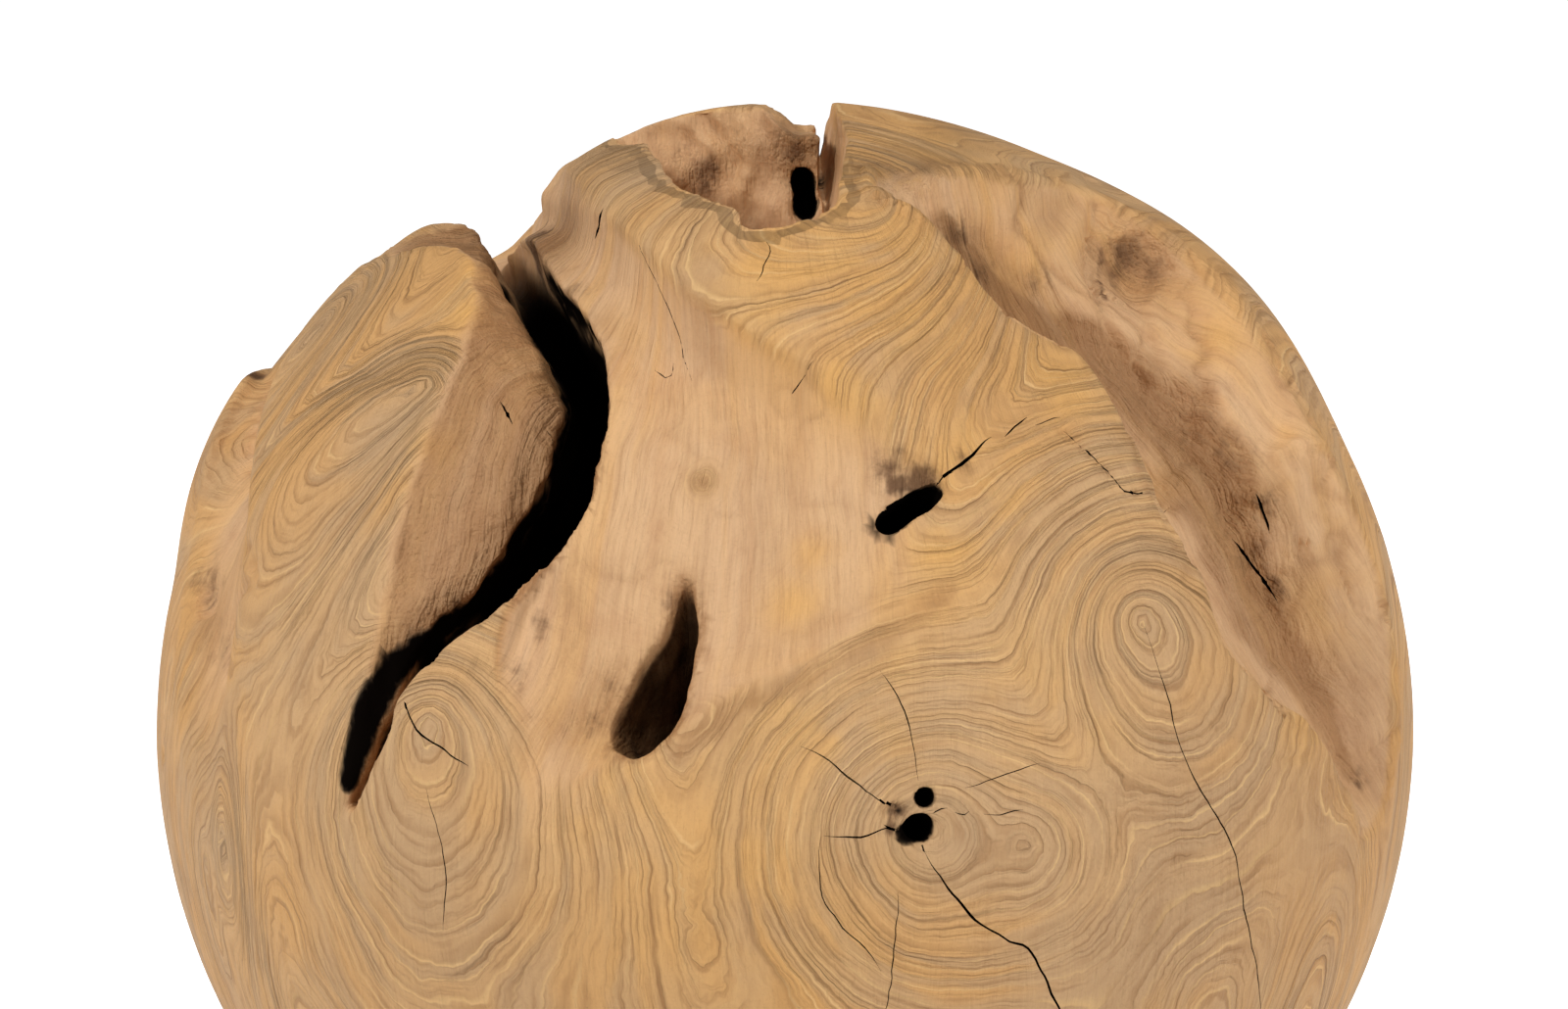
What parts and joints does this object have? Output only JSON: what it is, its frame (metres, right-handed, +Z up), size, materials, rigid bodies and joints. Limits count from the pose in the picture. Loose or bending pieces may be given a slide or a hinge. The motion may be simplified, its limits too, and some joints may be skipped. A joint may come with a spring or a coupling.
{
  "type": "wooden ball",
  "caption": "Decorative ball turned from a teak root, with open fissures, a hollow at the crown and a small sanded flat that it stands on.",
  "frame": {"origin": "centre of the sanded flat that the ball stands on", "axes": "+Z up through the centre of the ball, -Y towards the front with the big knot, +X to the right of that front"},
  "size_m": [0.3999, 0.4, 0.3949],
  "materials": {
    "wood": "matte"
  },
  "bodies": {
    "root": {"ball": "wood"}
  },
  "joints": []
}
